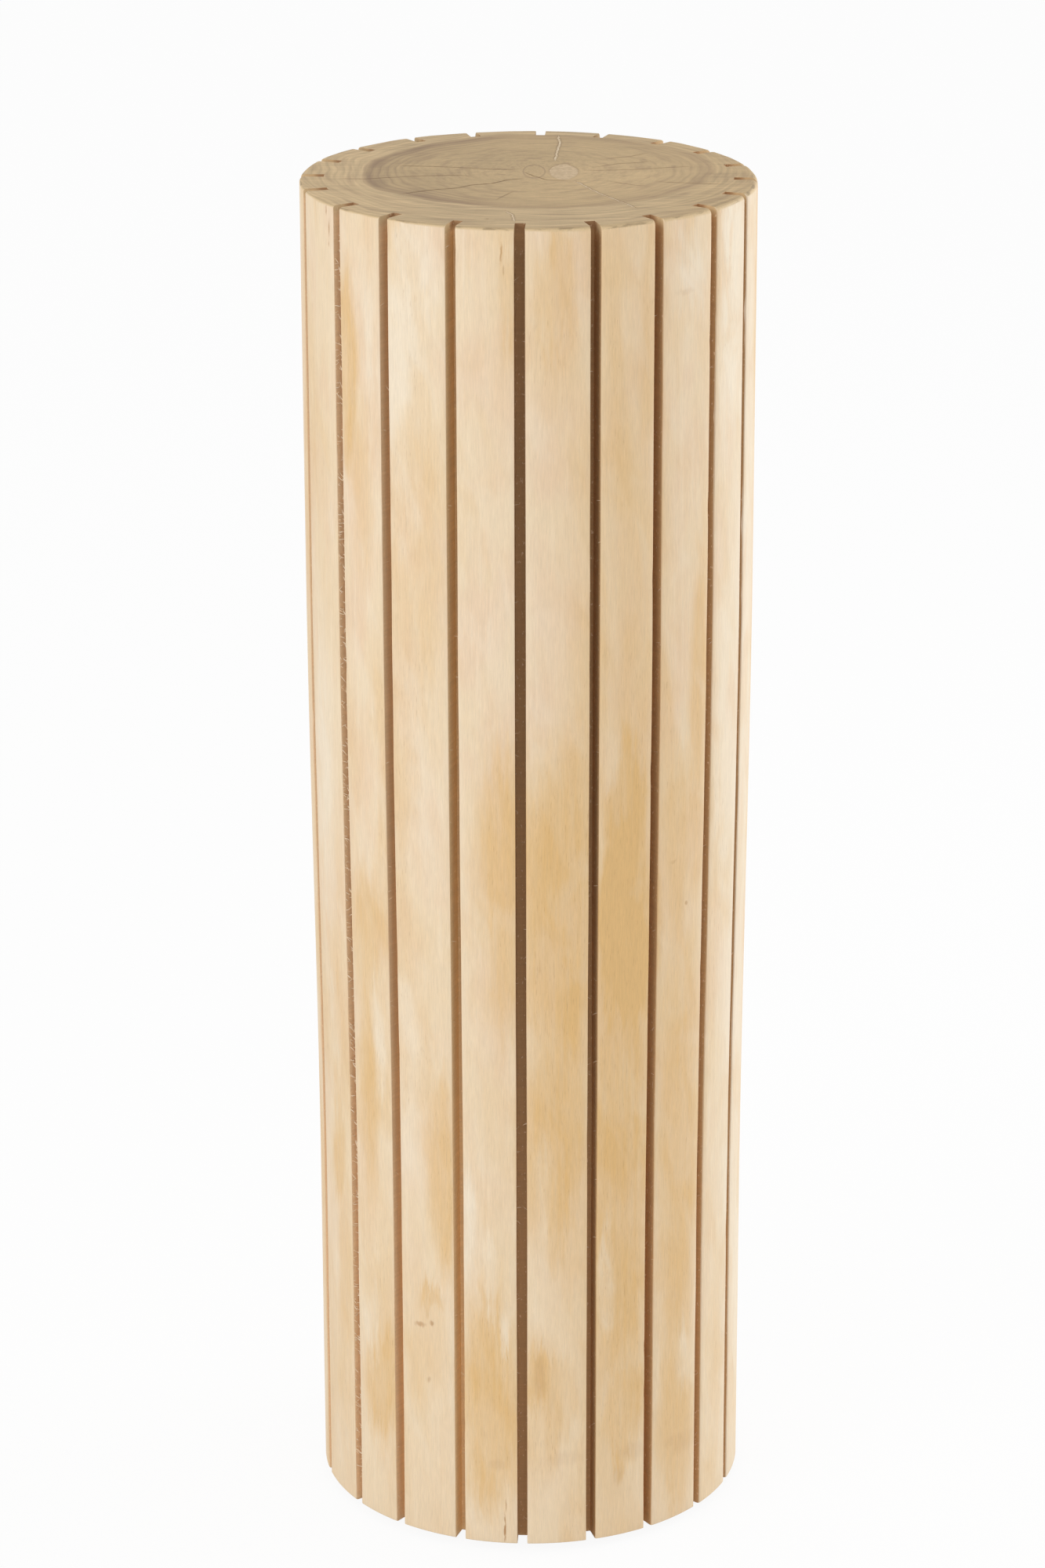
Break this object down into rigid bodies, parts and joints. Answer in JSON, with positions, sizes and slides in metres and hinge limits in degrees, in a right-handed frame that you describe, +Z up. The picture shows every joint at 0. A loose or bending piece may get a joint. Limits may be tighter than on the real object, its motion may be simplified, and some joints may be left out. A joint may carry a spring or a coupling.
{
  "type": "plinth",
  "caption": "Round plinth turned from one solid tree trunk, with sawn lengthwise grooves, filled checks in its end-grain top and felt glides below, to show a plant or a vase.",
  "frame": {"origin": "on the floor, at the middle of the base", "axes": "+Z up along the trunk, +X to the right and -Y to the front as the picture shows it"},
  "size_m": [0.2599, 0.2599, 0.805],
  "materials": {
    "trunk_wood": "matte",
    "wood_filler": "matte",
    "glide_nylon": "satin",
    "glide_felt": "matte",
    "nail_steel": "satin"
  },
  "bodies": {
    "root": {"grooved_trunk": "trunk_wood", "heart_filler": "wood_filler", "rear_check_filler": "wood_filler", "right_check_filler": "wood_filler", "front_check_filler": "wood_filler", "glide_cup_front_right": "glide_nylon", "glide_felt_front_right": "glide_felt", "glide_cup_rear_right": "glide_nylon", "glide_felt_rear_right": "glide_felt", "glide_cup_rear_left": "glide_nylon", "glide_felt_rear_left": "glide_felt", "glide_cup_front_left": "glide_nylon", "glide_felt_front_left": "glide_felt", "glide_nails": "nail_steel"}
  },
  "joints": []
}
